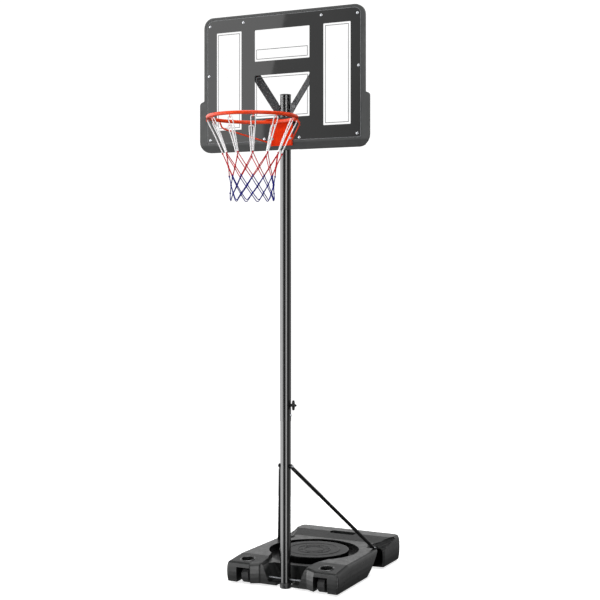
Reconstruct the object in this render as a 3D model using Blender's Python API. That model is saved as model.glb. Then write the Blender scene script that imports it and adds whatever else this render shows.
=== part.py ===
"""Portable basketball hoop: wheeled tank base, telescoping pole, board, rim and net.

Metres, +Z up. The rim faces -Y, and the base reaches back along +Y. The shapes are written with
the pole's axis at X = Y = 0 and the lower edge of the tank's walls at Z = 0. The root empty moves the
whole hoop so that the origin lies on the ground under the middle of its depth. Whatever is mirrored
is built on +X first.
"""
import math

import bmesh
import bpy
from mathutils import Matrix, Vector

POLE_Y = -0.13875       # the pole's axis, seen from the origin
GAP = 0.0003            # clearance between faces that touch on the real hoop
ROUND = 32              # sides of a large round piece
SMALL = 8               # sides of a bolt or a pin

# Pole
SLEEVE_R = 0.031
SLEEVE_WALL = 0.0012
LOWER_R = SLEEVE_R - SLEEVE_WALL - GAP
LOWER_WALL = 0.0015
LOWER_FOOT_Z = 0.020
LOWER_TOP_Z = 1.530
SLEEVE_FOOT_Z = 0.930
SEAM_Z = 1.850
SPIGOT_LENGTH = 0.080
POLE_TOP_Z = 2.773
SCREW_Z = 0.963
KNOB_Z = 1.020

# Base tank
BASE_HALF_WIDTH = 0.353
BASE_FRONT_Y = -0.060
BAY_FRONT_Y = -0.032
BODY_BACK_Y = 0.560
WAIST_HALF_WIDTH = 0.262
WAIST_BACK_Y = 0.612
WING_HALF_WIDTH = 0.342
BASE_BACK_Y = 0.900
BASE_FRONT_HEIGHT = 0.114
DECK_HEIGHT = 0.130
WING_HEIGHT = 0.147
DISC_CENTRE_Y = 0.367
DISC_R = 0.205
GROOVE_R = 0.266
GROOVE_DEPTH = 0.040
TANK_WALL = 0.006
FLANK_STEPS = 4
TANK_ROOF_Z = DECK_HEIGHT - GROOVE_DEPTH - TANK_WALL
LEDGE_Z = 0.104

# Height of the deck as (y, z), and lean of the walls as (share of that height, inset)
DECK_LINE = [(BASE_FRONT_Y, BASE_FRONT_HEIGHT), (0.100, DECK_HEIGHT), (0.660, DECK_HEIGHT),
             (0.780, WING_HEIGHT), (BASE_BACK_Y, WING_HEIGHT)]
WALL_LINE = [(0.0, 0.0075), (0.12, 0.0040), (0.30, 0.0010), (0.50, 0.0), (0.72, 0.0010), (0.85, 0.0035),
             (0.93, 0.0070), (0.98, 0.0120), (1.0, 0.0180)]

# Axle and wheels
AXLE_R = 0.005
PLINTH = 0.0125             # how far the tank's plinth and the pole's foot reach below its walls
AXLE_Z = 0.037
AXLE_HALF_LENGTH = 0.290
FILLER = Vector((-0.210, BASE_BACK_Y, 0.062))
WHEEL_R = 0.045
WHEEL_HALF_WIDTH = 0.023
WHEEL_X = 0.240

# Struts
STRUT_R = 0.0105
STRUT_TOP = Vector((0.0375, 0.0, 0.675))
STRUT_FOOT = Vector((0.318, 0.534, 0.0))

# Board
BOARD_FRONT_Y = -0.047
SHEET_FRONT_Y = BOARD_FRONT_Y
SHEET_BACK_Y = -0.0445
POCKET_Y = -0.0350
FRAME_BACK_Y = -0.0260
EAR_BACK_Y = -0.0340
BOARD_HALF_WIDTH = 0.506
EAR_HALF_WIDTH = 0.535
EAR_TOP_Z = 2.745
BOARD_BOTTOM_Z = 2.457
BOARD_TOP_Z = 3.235
SHEET_HALF_WIDTH = 0.486
SHEET_BOTTOM_Z = 2.507
SHEET_TOP_Z = 3.221

# Windows as (left x, right x, bottom z, top z)
SIDE_WINDOW = (0.259, 0.4235, 2.583, 3.144)
TOP_WINDOW = (-0.173, 0.173, 2.964, 3.142)
LOW_WINDOW = (-0.173, 0.173, 2.640, 2.884)
WINDOW_MARGIN_X = 0.010     # how far the frame stays back from the sheet's clear part
WINDOW_MARGIN_Z = 0.004

# Panel bolts on +X, as (x, z)
PANEL_BOLTS = [(0.246, 3.192), (0.465, 3.185), (0.472, 2.899), (0.463, 2.529), (0.110, 2.522)]

# Rim
RIM_Y = -0.3899
RIM_Z = 2.604
RIM_R = 0.2386             # 18 in across inside the tube
RIM_TUBE_R = 0.010
PLATE_BACK_Y = SHEET_FRONT_Y - GAP
PLATE_FRONT_Y = PLATE_BACK_Y - 0.003
PLATE_HALF_WIDTH = 0.068
PLATE_BOTTOM_Z = 2.480
FLANGE_Z = RIM_Z + RIM_TUBE_R + GAP
RIM_BOLTS = [(0.057, 2.520), (0.045, 2.594)]

# Bracket that joins the board to the pole, and the V arms
BRACKET_FRONT_Y = POCKET_Y + GAP
BRACKET_WEB_BACK_Y = -SLEEVE_R - GAP
BRACKET_HALF_WIDTH = 0.078
BRACKET_BOTTOM_Z = 2.485
BRACKET_TOP_Z = 2.606
BRACKET_BOLT_Z = 2.545
CHEEK_IN_X = SLEEVE_R + GAP
CHEEK_OUT_X = CHEEK_IN_X + 0.003
ARM_BOLT_Z = 2.676
ARM_LOW_X = 0.0528
ARM_LOW_Z = 2.7028
ARM_END_X = 0.2184
ARM_END_Z = 2.9409
ARM_LEAN = 28


def srgb(red, green, blue):
    """Colour as a screen shows it, 0 to 255, turned into the linear values Blender uses."""
    return tuple(((value / 255 + 0.055) / 1.055) ** 2.4 for value in (red, green, blue))


def make_material(name, colour, roughness, metallic=0.0, alpha=1.0):
    material = bpy.data.materials.new(name)
    material.use_nodes = True
    shader = material.node_tree.nodes["Principled BSDF"]
    shader.inputs["Base Color"].default_value = (*colour, 1.0)
    shader.inputs["Roughness"].default_value = roughness
    shader.inputs["Metallic"].default_value = metallic
    shader.inputs["Alpha"].default_value = alpha
    return material


def clear_scene():
    for item in list(bpy.data.objects):
        bpy.data.objects.remove(item, do_unlink=True)


def make_object(name, bm, material, origin=(0, 0, 0), parent=None, smooth=True):
    """Turn a bmesh in world coordinates into an object whose origin is at the given point."""
    bmesh.ops.recalc_face_normals(bm, faces=bm.faces)
    bmesh.ops.translate(bm, verts=bm.verts, vec=-Vector(origin))
    mesh = bpy.data.meshes.new(name)
    bm.to_mesh(mesh)
    bm.free()
    if smooth:
        mesh.shade_smooth()
        mesh.set_sharp_from_angle(angle=math.radians(35))
    mesh.materials.append(material)
    item = bpy.data.objects.new(name, mesh)
    item.location = origin
    item.parent = parent
    bpy.context.collection.objects.link(item)
    return item


def make_empty(name, parent=None):
    empty = bpy.data.objects.new(name, None)
    empty.parent = parent
    bpy.context.collection.objects.link(empty)
    return empty


def apply_boolean(item, bm, operation):
    """Join or cut an object with another shape, kept as a wire guide beside it."""
    cutter = make_object(item.name + "_cutter", bm, item.data.materials[0], smooth=False)
    cutter.parent = item.parent
    cutter.hide_render = True
    cutter.display_type = "WIRE"
    modifier = item.modifiers.new(operation.lower(), "BOOLEAN")
    modifier.operation = operation
    modifier.solver = "EXACT"
    modifier.object = cutter
    return modifier


def cut(item, bm):
    return apply_boolean(item, bm, "DIFFERENCE")


def join(item, bm):
    return apply_boolean(item, bm, "UNION")


def box(low, high):
    bm = bmesh.new()
    bmesh.ops.create_cube(bm, size=1.0)
    size = Vector(high) - Vector(low)
    middle = (Vector(high) + Vector(low)) / 2
    bmesh.ops.scale(bm, vec=size, verts=bm.verts)
    bmesh.ops.translate(bm, vec=middle, verts=bm.verts)
    return bm


def mirror_x(bm):
    """The same shape on the other side of X = 0."""
    result = bm.copy()
    bmesh.ops.scale(result, vec=(-1, 1, 1), verts=result.verts)
    bmesh.ops.reverse_faces(result, faces=result.faces)
    return result


def round_corners(points, steps=4):
    """Outline points given as (x, y, radius), with each corner turned into an arc."""
    outline = []
    count = len(points)
    for index, (x, y, radius) in enumerate(points):
        corner = Vector((x, y))
        before = Vector(points[index - 1][:2]) - corner
        after = Vector(points[(index + 1) % count][:2]) - corner
        if radius == 0:
            outline.append(corner)
            continue
        half_angle = before.angle(after) / 2
        reach = radius / math.tan(half_angle)
        inward = (before.normalized() + after.normalized()).normalized()
        centre = corner + inward * radius / math.sin(half_angle)
        start = corner + before.normalized() * reach - centre
        end = corner + after.normalized() * reach - centre
        turn = start.angle_signed(end)
        for step in range(steps + 1):
            spin = Matrix.Rotation(-turn * step / steps, 2)
            outline.append(centre + spin @ start)
    return outline


def prism(outline, low, high, axis="Z"):
    """Extrude an outline between two levels along an axis; the outline's points are in the
    other two axes, in the order X, Y, Z."""
    def place(point, level):
        if axis == "Z":
            return Vector((point[0], point[1], level))
        if axis == "Y":
            return Vector((point[0], level, point[1]))
        return Vector((level, point[0], point[1]))

    bm = bmesh.new()
    lower = [bm.verts.new(place(point, low)) for point in outline]
    upper = [bm.verts.new(place(point, high)) for point in outline]
    bm.faces.new(lower)
    bm.faces.new(upper)
    count = len(outline)
    for index in range(count):
        after = (index + 1) % count
        bm.faces.new((lower[index], lower[after], upper[after], upper[index]))
    bmesh.ops.recalc_face_normals(bm, faces=bm.faces)
    return bm


def turned(profile, sides, axis="Z", centre=(0, 0, 0)):
    """Turn a profile of (radius, height) points round an axis. A point at radius 0 is a pole."""
    bm = bmesh.new()
    rings = []
    for radius, height in profile:
        if radius == 0:
            rings.append([bm.verts.new((0, 0, height))])
            continue
        ring = []
        for index in range(sides):
            angle = 2 * math.pi * (index + 0.5) / sides
            ring.append(bm.verts.new((radius * math.cos(angle), radius * math.sin(angle), height)))
        rings.append(ring)
    closed = len(rings[0]) > 1 and len(rings[-1]) > 1
    pairs = list(zip(rings, rings[1:]))
    if closed:
        pairs.append((rings[-1], rings[0]))
    for first, second in pairs:
        for index in range(sides):
            after = (index + 1) % sides
            if len(first) == 1:
                bm.faces.new((first[0], second[index], second[after]))
            elif len(second) == 1:
                bm.faces.new((first[index], first[after], second[0]))
            else:
                bm.faces.new((first[index], first[after], second[after], second[index]))
    turns = {"Z": Matrix.Identity(3), "X": Matrix.Rotation(math.pi / 2, 3, "Y"),
             "-X": Matrix.Rotation(-math.pi / 2, 3, "Y"), "Y": Matrix.Rotation(-math.pi / 2, 3, "X"),
             "-Y": Matrix.Rotation(math.pi / 2, 3, "X")}
    bmesh.ops.rotate(bm, verts=bm.verts, matrix=turns[axis])
    bmesh.ops.translate(bm, verts=bm.verts, vec=centre)
    bmesh.ops.recalc_face_normals(bm, faces=bm.faces)
    return bm


def rod(radius, low, high, sides=SMALL, axis="Z", centre=(0, 0, 0)):
    return turned([(0, low), (radius, low), (radius, high), (0, high)], sides, axis, centre)


def tube(outer, inner, low, high, sides=ROUND):
    return turned([(outer, low), (outer, high), (inner, high), (inner, low)], sides)


def loft(sections):
    """Skin a row of closed sections, each a list of points, and cap both ends."""
    bm = bmesh.new()
    rings = [[bm.verts.new(point) for point in section] for section in sections]
    for first, second in zip(rings, rings[1:]):
        count = len(first)
        for index in range(count):
            after = (index + 1) % count
            bm.faces.new((first[index], first[after], second[after], second[index]))
    bm.faces.new(rings[0])
    bm.faces.new(rings[-1])
    bmesh.ops.recalc_face_normals(bm, faces=bm.faces)
    return bm


def oval(centre, along, across, sides):
    """A closed section: an oval round a centre, from its two half-axes."""
    points = []
    for index in range(sides):
        angle = 2 * math.pi * (index + 0.5) / sides
        points.append(centre + along * math.cos(angle) + across * math.sin(angle))
    return points


def bolt(head_r, head_h, shank_r, shank_length, axis, centre, sides=SMALL):
    """A dome-headed bolt whose head stands on the centre point and whose shank goes the other way."""
    profile = [(0, -shank_length), (shank_r, -shank_length), (shank_r, 0), (head_r, 0)]
    profile += [(head_r * 0.94, head_h * 0.45), (head_r * 0.66, head_h * 0.85), (0, head_h)]
    return turned(profile, sides, axis, centre)


def nut(outer_r, hole_r, height, axis, centre):
    profile = [(outer_r, 0), (outer_r, height), (hole_r, height), (hole_r, 0)]
    return turned(profile, SMALL, axis, centre)


# ---------------------------------------------------------------- base

def base_outline():
    """Plan of the tank, from the front middle round +X to the back, then mirrored."""
    half = [
        (0.150, BAY_FRONT_Y, 0.020),
        (0.200, BASE_FRONT_Y, 0.015),
        (BASE_HALF_WIDTH, BASE_FRONT_Y, 0.012),
        (BASE_HALF_WIDTH - 0.008, BODY_BACK_Y, 0.018),
        (WAIST_HALF_WIDTH, BODY_BACK_Y + 0.018, 0.014),
        (WAIST_HALF_WIDTH, WAIST_BACK_Y, 0.010),
        (WING_HALF_WIDTH, WAIST_BACK_Y + 0.006, 0.018),
        (WING_HALF_WIDTH, BASE_BACK_Y, 0.040),
    ]
    other = [(-x, y, radius) for x, y, radius in reversed(half)]
    return half + other


def inset_corners(corners, inset):
    """Move an outline's corners inward, and shrink the radius of those that point outward."""
    moved = []
    for index, (x, y, radius) in enumerate(corners):
        after = corners[(index + 1) % len(corners)]
        ahead = Vector((x, y)) - Vector(corners[index - 1][:2])
        onward = Vector(after[:2]) - Vector((x, y))
        first = Vector((-ahead.y, ahead.x)).normalized()
        second = Vector((-onward.y, onward.x)).normalized()
        shift = (first + second) / (1 + first.dot(second)) * inset
        bulges = ahead.x * onward.y - ahead.y * onward.x > 0
        moved.append((x + shift.x, y + shift.y, max(radius - inset, 0.002) if bulges else radius + inset))
    return moved


def deck_height(y):
    """Height of the tank's top at a distance from the pole."""
    for (start, low), (end, high) in zip(DECK_LINE, DECK_LINE[1:]):
        if y <= end:
            return low + (high - low) * max(y - start, 0) / (end - start)
    return DECK_LINE[-1][1]


def tank_shell():
    """Outside of the tank: leaning walls, a rounded top edge and a deck that rises to the back."""
    rings = []
    for share, inset in WALL_LINE:
        outline = round_corners(inset_corners(base_outline(), inset))
        rings.append([Vector((point.x, point.y, share)) for point in outline])
    bm = loft(rings)
    for y, height in DECK_LINE[1:-1]:
        everything = bm.verts[:] + bm.edges[:] + bm.faces[:]
        bmesh.ops.bisect_plane(bm, geom=everything, dist=1e-6, plane_co=(0, y, 0), plane_no=(0, 1, 0))
    for vert in bm.verts:
        vert.co.z *= deck_height(vert.co.y)
    return bm


def bay_space():
    """Space in front of the tank where the pole stands, with a low ledge along its back."""
    levels = [
        (0.016, [(0.096, -0.09), (0.092, 0.030), (0.070, 0.060), (0.035, 0.070)]),
        (LEDGE_Z, [(0.130, -0.09), (0.132, 0.040), (0.112, 0.074), (0.050, 0.064)]),
        (LEDGE_Z + 0.0005, [(0.131, -0.09), (0.142, 0.070), (0.176, 0.172), (0.080, 0.121)]),
        (DECK_HEIGHT + 0.020, [(0.146, -0.09), (0.152, 0.060), (0.190, 0.186), (0.090, 0.126)]),
    ]
    sections = []
    for height, half in levels:
        around = half + [(-x, y) for x, y in reversed(half)]
        sections.append([Vector((x, y, height)) for x, y in around])
    return loft(sections)


def flank_space(side):
    """What is cut from the wing's front corner: a slope with steps, wide in front, narrow behind."""
    sections = []
    for y, inner, low in ((0.572, 0.236, 0.074), (0.805, 0.322, 0.122)):
        steps = [(inner, 0.200), (inner, 0.137)]
        for step in range(1, FLANK_STEPS + 1):
            x = inner + (0.372 - inner) * step / FLANK_STEPS
            z = 0.137 + (low - 0.137) * step / FLANK_STEPS
            steps += [(x - 0.006, z + 0.0035), (x, z)]
        steps.append((0.372, 0.200))
        sections.append([Vector((side * x, y, z)) for x, z in steps])
    return loft(sections)


def base_cuts():
    """Everything that is taken out of the tank, as closed shapes."""
    wide = BASE_HALF_WIDTH + 0.05
    deck = DECK_HEIGHT
    groove = turned([(GROOVE_R, deck - GROOVE_DEPTH), (GROOVE_R, deck + 0.05),
                     (DISC_R, deck + 0.05), (DISC_R, deck - GROOVE_DEPTH)],
                    48, "Z", (0, DISC_CENTRE_Y, 0))
    foot_hole = prism(round_corners([(0.046, -0.08, 0), (0.046, 0.050, 0.03),
                                     (-0.046, 0.050, 0.03), (-0.046, -0.08, 0)]), -0.01, 0.03)
    axle_channel = box((-AXLE_HALF_LENGTH - 0.004, -AXLE_R - GAP, -0.01),
                       (AXLE_HALF_LENGTH + 0.004, AXLE_R + GAP, AXLE_Z + AXLE_R + GAP))
    shapes = [groove, bay_space(), foot_hole, axle_channel]
    for side in (1, -1):
        x_low, x_high = sorted((side * 0.200, side * 0.286))
        shapes.append(box((x_low, BASE_FRONT_Y - 0.02, -0.01), (x_high, 0.050, 0.086)))
        shapes.append(rod(0.036, 0.096, 0.20, 20, "Z", (side * 0.250, 0.014, 0)))
        x_low, x_high = sorted((side * WAIST_HALF_WIDTH, side * wide))
        undercut = [(0.360, -0.01), (0.606, -0.01), (0.606, 0.010), (0.590, 0.150), (BODY_BACK_Y, 0.150)]
        shapes.append(prism(undercut, x_low, x_high, "X"))
        shapes.append(flank_space(side))
    shapes.append(prism(round_corners([(-0.085, 0.752, 0.02), (0.085, 0.752, 0.02),
                                       (0.085, 0.806, 0.02), (-0.085, 0.806, 0.02)]), 0.112, 0.20))
    return shapes


def tank_hollow():
    """The space for the water or sand, under the groove and inside the wing, and its filler."""
    wall = TANK_WALL
    half = [
        (0.190, 0.105, 0.0),
        (0.300, 0.105, 0.0),
        (0.300, 0.345, 0.0),
        (WAIST_HALF_WIDTH - 0.020, 0.520, 0.0),
        (WAIST_HALF_WIDTH - 0.020, 0.630, 0.0),
        (WING_HALF_WIDTH - wall - 0.004, 0.630, 0.0),
        (WING_HALF_WIDTH - wall - 0.004, BASE_BACK_Y - wall - 0.010, 0.0),
    ]
    other = [(-x, y, radius) for x, y, radius in reversed(half)]
    return prism(round_corners(half + other), wall, TANK_ROOF_Z)


def build_base(plastic, cap_plastic, root):
    tank = make_object("base_tank", tank_shell(), plastic, parent=root)
    plinth = round_corners([(0.225, 0.140, 0.03), (0.225, 0.860, 0.03),
                            (-0.225, 0.860, 0.03), (-0.225, 0.140, 0.03)])
    join(tank, prism(plinth, -PLINTH, 0.004))
    for shape in base_cuts():
        cut(tank, shape)
    cut(tank, tank_hollow())
    cut(tank, rod(0.0165, -0.03, 0.02, 20, "Y", FILLER))
    build_fill_cap(cap_plastic, root)


def build_fill_cap(plastic, root):
    """Screw cap of the filler in the tank's back wall: a plug with a grip flange."""
    profile = [(0, -0.014), (0.0160, -0.014), (0.0160, GAP), (0.022, GAP), (0.022, 0.006), (0.020, 0.008),
               (0.0, 0.008)]
    cap = turned(profile, 20, "Y", FILLER)
    grip = make_object("fill_cap", cap, plastic, FILLER, root)
    join(grip, box(FILLER + Vector((-0.017, 0.006, -0.003)), FILLER + Vector((0.017, 0.015, 0.003))))


def build_axle(zinc, wheel_plastic, cap_plastic, root):
    make_object("axle", rod(AXLE_R, -AXLE_HALF_LENGTH, AXLE_HALF_LENGTH, 16, "X", (0, 0, AXLE_Z)),
                zinc, (0, 0, AXLE_Z), root)
    for name, side in (("left", -1), ("right", 1)):
        centre = Vector((side * WHEEL_X, 0, AXLE_Z))
        bore = AXLE_R + GAP
        half = WHEEL_HALF_WIDTH
        profile = [(bore, -half), (0.013, -half), (0.014, -half + 0.006), (0.024, -half + 0.006),
                   (0.026, -half), (WHEEL_R - 0.003, -half), (WHEEL_R, -half + 0.003)]
        profile += [(radius, -height) for radius, height in reversed(profile)]
        make_object("wheel_" + name, turned(profile, 20, "X", centre), wheel_plastic, centre, root)
        seat = Vector((side * (WHEEL_X + half + 0.0035), 0, AXLE_Z))
        ring = turned([(bore, -0.0025), (0.010, -0.0025), (0.010, 0.0025), (bore, 0.0025)], 16, "X", seat)
        make_object("axle_retainer_" + name, ring, zinc, seat, root)


# ---------------------------------------------------------------- pole

def build_lower_pole(paint, zinc, cap_plastic, root):
    pole = make_object("lower_pole", tube(LOWER_R, LOWER_R - LOWER_WALL, LOWER_FOOT_Z, LOWER_TOP_Z),
                       paint, parent=root)
    cut(pole, rod(AXLE_R + GAP, -0.05, 0.05, 16, "X", (0, 0, AXLE_Z)))
    cut(pole, rod(0.0043, -0.05, 0.05, SMALL, "X", (0, 0, STRUT_TOP.z)))
    plug_r = LOWER_R - LOWER_WALL - GAP
    flange_r = LOWER_R + 0.003
    plug = [(0, -PLINTH), (0.029, -PLINTH), (flange_r, -PLINTH + 0.004), (flange_r, 0.010),
            (LOWER_R + 0.001, 0.012), (LOWER_R + 0.001, LOWER_FOOT_Z - GAP),
            (plug_r, LOWER_FOOT_Z - GAP), (plug_r, 0.028), (0, 0.028)]
    make_object("pole_foot", turned(plug, ROUND), cap_plastic, parent=root)
    make_object("strut_bolt", bolt(0.0075, 0.005, 0.004, 0.092, "-X", (-0.0435, 0, STRUT_TOP.z)),
                zinc, (0, 0, STRUT_TOP.z), root)
    make_object("strut_nut", nut(0.0075, 0.004 + GAP, 0.006, "X", (0.0410, 0, STRUT_TOP.z)),
                zinc, (0, 0, STRUT_TOP.z), root)


def build_upper_pole(paint, zinc, cap_plastic, lift):
    """Sleeve that slides on the lower pole, the top section on its spigot, and the top cap."""
    inner = SLEEVE_R - SLEEVE_WALL
    spigot_r = inner - GAP
    profile = [(SLEEVE_R, SLEEVE_FOOT_Z), (SLEEVE_R, SEAM_Z), (spigot_r, SEAM_Z),
               (spigot_r, SEAM_Z + SPIGOT_LENGTH), (spigot_r - SLEEVE_WALL, SEAM_Z + SPIGOT_LENGTH),
               (spigot_r - SLEEVE_WALL, SEAM_Z - 0.010), (inner, SEAM_Z - 0.012), (inner, SLEEVE_FOOT_Z)]
    sleeve = make_object("middle_pole", turned(profile, ROUND), paint, parent=lift)
    for height, side in ((SCREW_Z, 1), (SCREW_Z, -1), (KNOB_Z, 1)):
        low, high = sorted((side * 0.020, side * 0.040))
        cut(sleeve, rod(0.0043, low, high, SMALL, "X", (0, 0, height)))
    top = make_object("top_pole", tube(SLEEVE_R, inner, SEAM_Z + GAP, POLE_TOP_Z - 0.004), paint,
                      parent=lift)
    for height in (ARM_BOLT_Z, BRACKET_BOLT_Z):
        cut(top, rod(0.0043, -0.05, 0.05, SMALL, "X", (0, 0, height)))
    cap = [(0, POLE_TOP_Z - 0.018), (spigot_r, POLE_TOP_Z - 0.018), (spigot_r, POLE_TOP_Z - 0.004 + GAP),
           (SLEEVE_R + 0.001, POLE_TOP_Z - 0.004 + GAP), (SLEEVE_R + 0.001, POLE_TOP_Z - 0.001),
           (SLEEVE_R - 0.001, POLE_TOP_Z), (0, POLE_TOP_Z)]
    make_object("pole_cap", turned(cap, ROUND), cap_plastic, parent=lift)


def build_height_lock(zinc, cap_plastic, lift):
    """Clamp screw with its T handle, its nut on the sleeve, and the two guide screws below."""
    nut_start = SLEEVE_R + GAP
    make_object("clamp_nut", nut(0.009, 0.004 + GAP, 0.007, "X", (nut_start, 0, KNOB_Z)), zinc,
                (nut_start, 0, KNOB_Z), lift)
    start = LOWER_R + GAP
    hub_x = nut_start + 0.0085
    profile = [(0, start), (0.004, start), (0.004, hub_x), (0.0065, hub_x), (0.0080, hub_x + 0.010),
               (0.0105, hub_x + 0.013), (0.0100, hub_x + 0.017), (0.0065, hub_x + 0.023),
               (0.0045, hub_x + 0.028), (0, hub_x + 0.029)]
    knob = make_object("clamp_knob", turned(profile, SMALL, "X", (0, 0, KNOB_Z)), cap_plastic,
                       (hub_x, 0, KNOB_Z), lift)
    handle = [(0.0, -0.029), (0.0060, -0.027), (0.0082, -0.016), (0.0085, 0.0), (0.0082, 0.016),
              (0.0060, 0.027), (0.0, 0.029)]
    join(knob, turned(handle, SMALL, "Z", (hub_x + 0.0095, 0, KNOB_Z)))
    for name, side in (("left", -1), ("right", 1)):
        axis = "X" if side > 0 else "-X"
        stick_out = 0.008 if side > 0 else 0.003
        centre = (side * (SLEEVE_R + GAP), 0, SCREW_Z)
        make_object("guide_screw_" + name,
                    bolt(0.0065, stick_out, 0.004, SLEEVE_WALL + 0.0002, axis, centre), zinc, centre, lift)


# ---------------------------------------------------------------- struts

def build_strut(name, side, paint, zinc, root):
    """Round bar flattened at both ends: upright against the pole, flat on the deck."""
    top = STRUT_TOP
    deck = DECK_HEIGHT + GAP
    foot = Vector((STRUT_FOOT.x, STRUT_FOOT.y, deck + 0.0025))
    flat = 0.0025
    wide = 0.0125
    down = Vector((0.0, 0.71, -0.70)).normalized()
    x_axis = Vector((1, 0, 0))
    z_axis = Vector((0, 0, 1))
    tab_end = top + down * 0.016
    bend = top + down * 0.034 + Vector((0.007, 0, 0))
    run_end = foot - Vector((0.46, 0.89, 0)).normalized() * 0.018 + Vector((0, 0, 0.011))
    along = (run_end - bend).normalized()
    across = along.cross(x_axis).normalized()
    upright = across.cross(along).normalized()
    ahead = Vector((0.46, 0.89, 0)).normalized()
    beside = Vector((ahead.y, -ahead.x, 0))
    tab_side = down.cross(x_axis).normalized()
    sections = [
        (top - down * 0.0125, x_axis * flat, tab_side * wide * 0.55),
        (top - down * 0.006, x_axis * flat, tab_side * wide),
        (tab_end, x_axis * flat, tab_side * wide),
        (bend, upright * STRUT_R, across * STRUT_R),
        (run_end, upright * STRUT_R, across * STRUT_R),
        (foot - ahead * 0.009, beside * wide, -z_axis * flat),
        (foot + ahead * 0.006, beside * wide, -z_axis * flat),
        (foot + ahead * 0.0125, beside * wide * 0.55, -z_axis * flat),
    ]
    bar = loft([oval(centre, first, second, 12) for centre, first, second in sections])
    hole = rod(0.0043, -0.02, 0.02, SMALL, "X", top)
    foot_hole = rod(0.0043, -0.02, 0.02, SMALL, "Z", foot)
    screw = bolt(0.0085, 0.005, 0.004, 0.0045, "Z", (foot.x, foot.y, foot.z + flat + GAP))
    shapes = [bar, hole, foot_hole, screw]
    if side < 0:
        shapes = [mirror_x(shape) for shape in shapes]
    bar, hole, foot_hole, screw = shapes
    strut = make_object("strut_" + name, bar, paint, parent=root)
    cut(strut, hole)
    cut(strut, foot_hole)
    make_object("strut_foot_screw_" + name, screw, zinc, parent=root)


# ---------------------------------------------------------------- board

def window_outline(window, radius=0.004):
    left, right, bottom, top = window
    return round_corners([(left, bottom, radius), (right, bottom, radius),
                          (right, top, radius), (left, top, radius)], 2)


def flip(window):
    left, right, bottom, top = window
    return (-right, -left, bottom, top)


def all_windows():
    return [SIDE_WINDOW, flip(SIDE_WINDOW), TOP_WINDOW, LOW_WINDOW]


def both_sides(places):
    return [(side * x, z) for side in (-1, 1) for x, z in places]


def frame_outline():
    half = [
        (EAR_HALF_WIDTH, BOARD_BOTTOM_Z, 0.066),
        (EAR_HALF_WIDTH, EAR_TOP_Z, 0.020),
        (BOARD_HALF_WIDTH, EAR_TOP_Z + 0.012, 0.006),
        (BOARD_HALF_WIDTH, BOARD_TOP_Z, 0.058),
    ]
    other = [(-x, z, radius) for x, z, radius in reversed(half)]
    return round_corners(half + other, 6)


def build_frame(plastic, lift):
    """Moulded frame: a thick body with four windows, thin ears, and a rebate for the sheet."""
    frame = make_object("board_frame", prism(frame_outline(), BOARD_FRONT_Y, FRAME_BACK_Y, "Y"),
                        plastic, parent=lift)
    sheet = [(-SHEET_HALF_WIDTH - GAP, SHEET_BOTTOM_Z - GAP, 0.012),
             (SHEET_HALF_WIDTH + GAP, SHEET_BOTTOM_Z - GAP, 0.012),
             (SHEET_HALF_WIDTH + GAP, SHEET_TOP_Z + GAP, 0.040),
             (-SHEET_HALF_WIDTH - GAP, SHEET_TOP_Z + GAP, 0.040)]
    cut(frame, prism(round_corners(sheet, 5), BOARD_FRONT_Y - 0.01, SHEET_BACK_Y + GAP, "Y"))
    for left, right, bottom, top in all_windows():
        opening = (left - WINDOW_MARGIN_X, right + WINDOW_MARGIN_X,
                   bottom - WINDOW_MARGIN_Z, top + WINDOW_MARGIN_Z)
        cut(frame, prism(window_outline(opening), -0.08, 0.02, "Y"))
    for side in (1, -1):
        low, high = sorted((side * BOARD_HALF_WIDTH, side * (EAR_HALF_WIDTH + 0.02)))
        cut(frame, box((low, EAR_BACK_Y, BOARD_BOTTOM_Z - 0.02), (high, 0.02, EAR_TOP_Z + 0.05)))
    cut(frame, box((-0.105, POCKET_Y, BOARD_BOTTOM_Z - 0.01), (0.105, 0.02, LOW_WINDOW[2] + 0.01)))
    slope = [(BOARD_FRONT_Y - 0.004, BOARD_BOTTOM_Z - 0.006), (BOARD_FRONT_Y + 0.011, BOARD_BOTTOM_Z - 0.006),
             (BOARD_FRONT_Y - 0.0005, SHEET_BOTTOM_Z - 0.008), (BOARD_FRONT_Y - 0.004, SHEET_BOTTOM_Z)]
    cut(frame, prism(slope, -0.7, 0.7, "X"))
    for x, z in both_sides(PANEL_BOLTS):
        cut(frame, rod(0.0033, -0.05, -0.032, 8, "Y", (x, 0, z)))
    for x, z in both_sides(RIM_BOLTS):
        cut(frame, rod(0.0043, -0.06, 0.0, SMALL, "Y", (x, 0, z)))
    for side in (1, -1):
        cut(frame, rod(0.0033, -0.040, 0.0, SMALL, "Y", (side * ARM_END_X, 0, ARM_END_Z)))


def build_panel(clear, lift):
    """Clear playing sheet, with a round hole for each bolt."""
    corners = [(-SHEET_HALF_WIDTH, SHEET_BOTTOM_Z, 0.012), (SHEET_HALF_WIDTH, SHEET_BOTTOM_Z, 0.012),
               (SHEET_HALF_WIDTH, SHEET_TOP_Z, 0.040), (-SHEET_HALF_WIDTH, SHEET_TOP_Z, 0.040)]
    panel = make_object("board_panel", prism(round_corners(corners, 5), SHEET_FRONT_Y, SHEET_BACK_Y, "Y"),
                        clear, parent=lift)
    for x, z in both_sides(PANEL_BOLTS):
        cut(panel, rod(0.0033, -0.06, -0.03, 8, "Y", (x, 0, z)))
    for x, z in both_sides(RIM_BOLTS):
        cut(panel, rod(0.0043, -0.06, -0.03, SMALL, "Y", (x, 0, z)))


def build_panel_bolts(zinc, lift):
    for number, (x, z) in enumerate(both_sides(PANEL_BOLTS), start=1):
        centre = (x, SHEET_FRONT_Y - GAP, z)
        make_object(f"panel_bolt_{number:02d}", bolt(0.0085, 0.0045, 0.003, 0.010, "-Y", centre, 10),
                    zinc, centre, lift)


# ---------------------------------------------------------------- rim

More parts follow.
